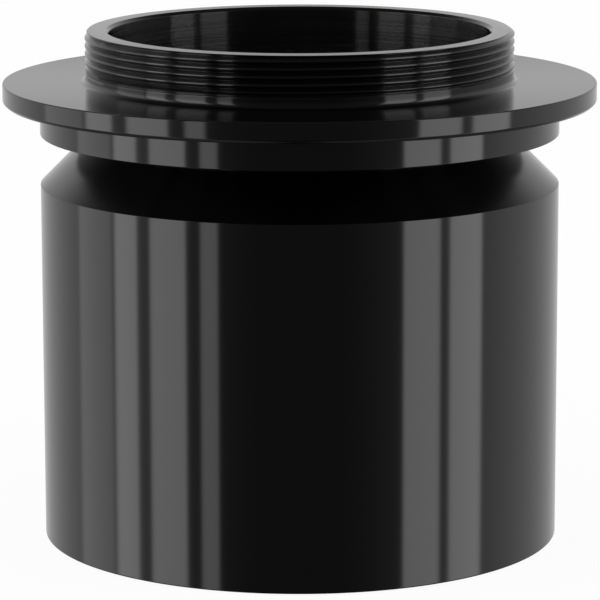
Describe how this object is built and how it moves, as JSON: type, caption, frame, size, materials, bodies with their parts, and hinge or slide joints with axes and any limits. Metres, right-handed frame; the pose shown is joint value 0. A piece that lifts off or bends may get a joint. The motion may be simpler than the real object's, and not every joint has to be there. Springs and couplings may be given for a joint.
{
  "type": "barlow lens",
  "caption": "Barlow lens for a 2-inch focuser: smooth nose barrel with safety undercut and filter thread, flange, T-thread camera collar and an unscrewing cell with a negative doublet.",
  "frame": {"origin": "middle of the nose end's plane, where the lens stands on a table", "axes": "+Z is the optical axis, from the nose end towards the camera; the lens is round, so X and Y are free, and the spanner slots lie along X"},
  "size_m": [0.058, 0.058, 0.05],
  "materials": {
    "gloss_black": "gloss black anodised over fine turning marks",
    "satin_black": "satin black anodised",
    "matt_black": "matt black anodised against stray light",
    "coated_glass": "polished, with a green anti-reflection coating",
    "cushion": "black nylon"
  },
  "bodies": {
    "barrel": {"barrel": "gloss_black", "upper_baffle": "matt_black", "baffle_sleeve": "matt_black", "lower_baffle": "matt_black"},
    "adapter_carriage": {"adapter_baffle": "matt_black"},
    "camera_adapter": {"camera_adapter": "gloss_black"},
    "lens_stack": {"positive_element": "coated_glass", "element_spacer": "matt_black", "negative_element": "coated_glass"},
    "lens_cell": {"lens_cell": "satin_black"},
    "cushion_carriage": {"cushion_ring": "cushion"},
    "retaining_ring": {"retaining_ring": "satin_black"}
  },
  "joints": [
    {"name": "adapter_rise", "type": "slide", "parent": "barrel", "child": "adapter_carriage", "axis": [0, 0, 1], "range_m": [0, 0.00525]},
    {"name": "adapter_turn", "type": "hinge", "parent": "adapter_carriage", "child": "camera_adapter", "pos_m": [0, 0, 0.045], "axis": [0, 0, 1], "range_deg": [0, 2520]},
    {"name": "cell_drop", "type": "slide", "parent": "barrel", "child": "lens_stack", "axis": [0, 0, -1], "range_m": [0, 0.00525]},
    {"name": "cell_turn", "type": "hinge", "parent": "lens_stack", "child": "lens_cell", "pos_m": [0, 0, 0.01], "axis": [0, 0, -1], "range_deg": [0, 2520]},
    {"name": "ring_drop", "type": "slide", "parent": "lens_cell", "child": "cushion_carriage", "axis": [0, 0, -1], "range_m": [0, 0.0015]},
    {"name": "ring_turn", "type": "hinge", "parent": "cushion_carriage", "child": "retaining_ring", "pos_m": [0, 0, 0.008], "axis": [0, 0, -1], "range_deg": [0, 1080]}
  ],
  "couplings": [
    {"joint": "adapter_rise", "follows": "adapter_turn", "m_per_rad": 0.00011937},
    {"joint": "cell_drop", "follows": "cell_turn", "m_per_rad": 0.00011937},
    {"joint": "ring_drop", "follows": "ring_turn", "m_per_rad": 0.000079577}
  ]
}
